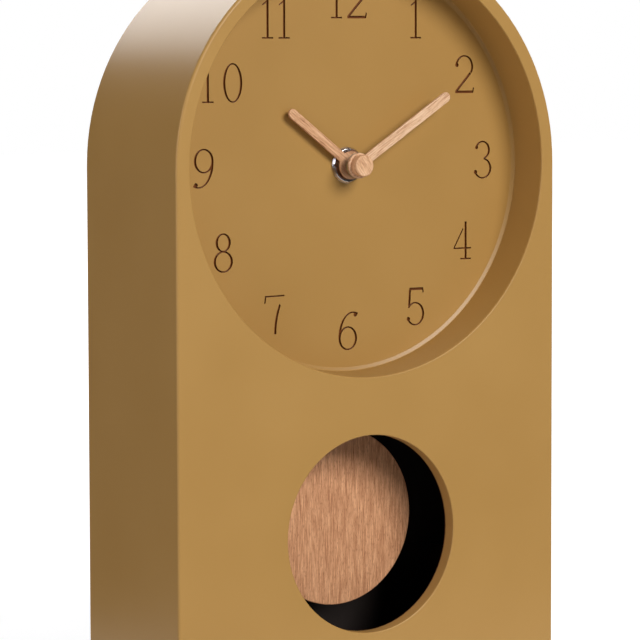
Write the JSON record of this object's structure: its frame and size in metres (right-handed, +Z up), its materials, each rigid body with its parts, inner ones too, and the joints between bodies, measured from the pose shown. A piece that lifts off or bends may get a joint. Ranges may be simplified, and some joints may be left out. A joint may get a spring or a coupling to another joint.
{
  "type": "desk pendulum clock",
  "caption": "Arch-topped desk clock with a deep round dial, engraved numerals, wooden hands and a wooden pendulum bob behind a round window.",
  "frame": {"origin": "middle of the clock's footprint, on the surface that it stands on", "axes": "+X to the viewer's right, +Y from the dial to the back, +Z up"},
  "size_m": [0.18, 0.07, 0.3],
  "materials": {
    "case_paint": "matt ochre lacquer on fibreboard, filled and sanded so that no joint shows",
    "back_board": "black dyed hardboard",
    "block_wood": "plain sawn softwood",
    "oak_hand": "light oak veneer, open pores",
    "oak_bob": "oak disc, fine vertical grain",
    "chrome": "polished",
    "brass": "turned",
    "steel": "drawn or stamped",
    "black_plastic": "fine moulded texture",
    "white_plastic": "moulded acetal",
    "rubber": "soft",
    "copper_winding": "enamelled wire",
    "circuit": "green solder mask",
    "battery_wrap": "plain shrink sleeve",
    "magnet": "sintered ferrite"
  },
  "bodies": {
    "case": {"front_panel": "case_paint", "arch_surround": "case_paint", "base_panel": "case_paint", "screw_blocks": "block_wood", "back_panel": "back_board", "back_screws": "steel", "feet": "rubber", "dial_ring": "case_paint", "dial_plate": "case_paint", "dial_gasket": "rubber", "dial_washer": "steel", "dial_nut": "chrome", "threaded_bush": "brass", "movement_housing": "black_plastic", "movement_cover": "black_plastic", "middle_plate": "white_plastic", "stator": "steel", "coil_core": "steel", "coil_bobbin": "black_plastic", "motor_coil": "copper_winding", "circuit_board": "circuit", "quartz_crystal": "steel", "controller_chip": "black_plastic", "battery": "battery_wrap", "negative_contact": "steel", "positive_contact": "steel", "pendulum_box": "black_plastic", "pendulum_box_cover": "black_plastic", "pivot_pin": "steel", "drive_bobbin": "white_plastic", "drive_coil": "copper_winding"},
    "minute_set": {"minute_arbor": "steel", "minute_hand": "oak_hand", "minute_collet": "steel", "centre_cap": "oak_hand"},
    "hour_set": {"hour_wheel": "white_plastic", "hour_collet": "steel", "hour_hand": "oak_hand"},
    "change_set": {"change_wheel": "white_plastic", "setting_knob": "black_plastic"},
    "rotor_set": {"rotor": "white_plastic"},
    "intermediate_set": {"intermediate_wheel": "white_plastic"},
    "second_set": {"second_wheel": "white_plastic"},
    "third_set": {"third_wheel": "white_plastic"},
    "centre_set": {"centre_wheel": "brass"},
    "pendulum": {"pendulum_rocker": "white_plastic", "rocker_magnet": "magnet", "pendulum_rod": "brass", "bob_disc": "oak_bob", "bob_clip": "black_plastic"}
  },
  "joints": [
    {"name": "minute_hand_turn", "type": "hinge", "parent": "case", "child": "minute_set", "pos_m": [0, -0.01, 0.21], "axis": [0, 1, 0], "continuous": true},
    {"name": "hour_hand_turn", "type": "hinge", "parent": "case", "child": "hour_set", "pos_m": [0, -0.013, 0.21], "axis": [0, 1, 0], "continuous": true},
    {"name": "change_wheel_turn", "type": "hinge", "parent": "case", "child": "change_set", "pos_m": [0.009, -0.005, 0.21], "axis": [0, 1, 0], "continuous": true},
    {"name": "rotor_turn", "type": "hinge", "parent": "case", "child": "rotor_set", "pos_m": [0.01001, -0.004, 0.22589], "axis": [0, 1, 0], "continuous": true},
    {"name": "intermediate_turn", "type": "hinge", "parent": "case", "child": "intermediate_set", "pos_m": [0.00721, -0.002, 0.22104], "axis": [0, 1, 0], "continuous": true},
    {"name": "second_wheel_turn", "type": "hinge", "parent": "case", "child": "second_set", "pos_m": [0.00121, -0.003, 0.22104], "axis": [0, 1, 0], "continuous": true},
    {"name": "third_wheel_turn", "type": "hinge", "parent": "case", "child": "third_set", "pos_m": [-0.0036, -0.005, 0.21624], "axis": [0, 1, 0], "continuous": true},
    {"name": "centre_wheel_turn", "type": "hinge", "parent": "case", "child": "centre_set", "pos_m": [0, -0.0063, 0.21], "axis": [0, 1, 0], "continuous": true},
    {"name": "pendulum_swing", "type": "hinge", "parent": "case", "child": "pendulum", "pos_m": [0, -0.002, 0.1765], "axis": [0, 1, 0], "range_deg": [-12, 12]}
  ],
  "couplings": [
    {"joint": "hour_hand_turn", "follows": "minute_hand_turn", "ratio": 0.083333},
    {"joint": "change_wheel_turn", "follows": "minute_hand_turn", "ratio": -0.33333},
    {"joint": "intermediate_turn", "follows": "rotor_turn", "ratio": -0.16667},
    {"joint": "second_wheel_turn", "follows": "rotor_turn", "ratio": 0.033333},
    {"joint": "third_wheel_turn", "follows": "rotor_turn", "ratio": -0.0044444},
    {"joint": "centre_wheel_turn", "follows": "rotor_turn", "ratio": 0.00055556}
  ]
}
